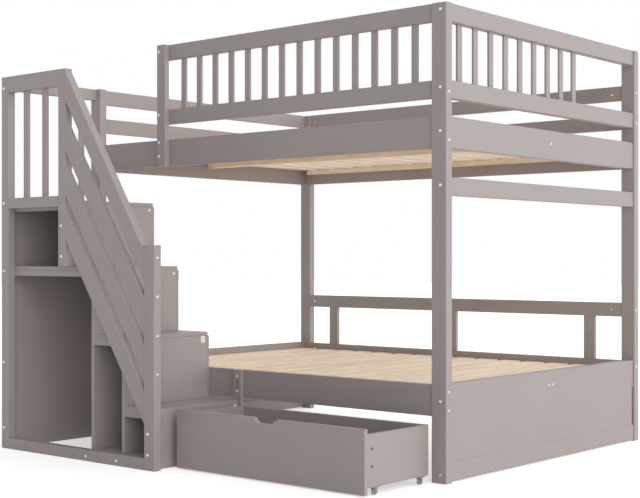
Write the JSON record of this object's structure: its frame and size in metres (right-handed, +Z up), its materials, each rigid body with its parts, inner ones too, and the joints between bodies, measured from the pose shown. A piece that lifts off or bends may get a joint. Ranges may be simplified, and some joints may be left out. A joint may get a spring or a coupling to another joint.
{
  "type": "bunk bed with storage stairs",
  "caption": "Painted timber bunk bed, full-size bunks on slats, with guard rails, side stairs over open cubbies, and one wheeled drawer under the lower bunk.",
  "frame": {"origin": "middle of the footprint on the floor: bed, stairs and the open drawer between them", "axes": "+X along the bed to the end without stairs, +Y across the bed to the wall side, +Z up"},
  "size_m": [2.008, 1.936, 1.73],
  "materials": {
    "grey_paint": "satin grey paint over pine",
    "slat_wood": "bare pine",
    "bolt_steel": "bright zinc",
    "cap_plastic": "pale plastic",
    "bracket_steel": "grey",
    "wheel_plastic": "grey nylon"
  },
  "bodies": {
    "bed": {"front_right_post": "grey_paint", "back_right_post": "grey_paint", "front_left_post": "grey_paint", "back_left_post": "grey_paint", "guard_entry_post": "grey_paint", "upper_front_side_rail": "grey_paint", "upper_back_side_rail": "grey_paint", "lower_front_side_rail": "grey_paint", "lower_back_side_rail": "grey_paint", "front_guard_rails": "grey_paint", "front_guard_balusters": "grey_paint", "back_guard_rails": "grey_paint", "backrest_rail": "grey_paint", "backrest_stiles": "grey_paint", "front_support_leg": "grey_paint", "upper_right_end_rail": "grey_paint", "lower_right_end_rail": "grey_paint", "right_end_brace_rail": "grey_paint", "right_guard_rails": "grey_paint", "end_baseboards": "grey_paint", "right_guard_balusters": "grey_paint", "end_panels": "grey_paint", "upper_left_end_rail": "grey_paint", "lower_left_end_rail": "grey_paint", "left_guard_rails": "grey_paint", "upper_slat_bearers": "slat_wood", "upper_slats": "slat_wood", "lower_slat_bearers": "slat_wood", "lower_slats": "slat_wood", "stair_left_post": "grey_paint", "stair_middle_post": "grey_paint", "stair_right_post": "grey_paint", "stair_bottom_rail": "grey_paint", "stair_guard_rails": "grey_paint", "stair_guard_balusters": "grey_paint", "landing_side_rails": "grey_paint", "landing_side_balusters": "grey_paint", "stair_handrail": "grey_paint", "slanted_guard_boards": "grey_paint", "stair_side_panel": "grey_paint", "riser_panels": "grey_paint", "stair_treads": "grey_paint", "third_tread_shelf": "grey_paint", "landing_board": "grey_paint", "tread_cleats": "grey_paint", "cubby_floor_boards": "grey_paint", "cubby_back_panels": "grey_paint", "bed_bolts": "bolt_steel", "stair_bolts": "bolt_steel", "barrel_nuts": "bolt_steel", "screw_caps": "cap_plastic"},
    "drawer": {"drawer_front": "grey_paint", "drawer_sides": "grey_paint", "drawer_back": "grey_paint", "drawer_floor": "grey_paint", "wheel_brackets": "bracket_steel"},
    "wheel_front_left": {"drawer_wheel_front_left": "wheel_plastic"},
    "wheel_back_left": {"drawer_wheel_back_left": "wheel_plastic"},
    "wheel_front_right": {"drawer_wheel_front_right": "wheel_plastic"},
    "wheel_back_right": {"drawer_wheel_back_right": "wheel_plastic"}
  },
  "joints": [
    {"name": "drawer_slide", "type": "slide", "parent": "bed", "child": "drawer", "axis": [0, 1, 0], "range_m": [0, 0.377]},
    {"name": "wheel_front_left_spin", "type": "hinge", "parent": "drawer", "child": "wheel_front_left", "pos_m": [0.005, -0.801, 0.0125], "axis": [1, 0, 0], "continuous": true},
    {"name": "wheel_back_left_spin", "type": "hinge", "parent": "drawer", "child": "wheel_back_left", "pos_m": [0.005, -0.5445, 0.0125], "axis": [1, 0, 0], "continuous": true},
    {"name": "wheel_front_right_spin", "type": "hinge", "parent": "drawer", "child": "wheel_front_right", "pos_m": [0.9275, -0.801, 0.0125], "axis": [1, 0, 0], "continuous": true},
    {"name": "wheel_back_right_spin", "type": "hinge", "parent": "drawer", "child": "wheel_back_right", "pos_m": [0.9275, -0.5445, 0.0125], "axis": [1, 0, 0], "continuous": true}
  ],
  "couplings": [
    {"joint": "wheel_front_left_spin", "follows": "drawer_slide", "rad_per_m": -80},
    {"joint": "wheel_back_left_spin", "follows": "drawer_slide", "rad_per_m": -80},
    {"joint": "wheel_front_right_spin", "follows": "drawer_slide", "rad_per_m": -80},
    {"joint": "wheel_back_right_spin", "follows": "drawer_slide", "rad_per_m": -80}
  ]
}
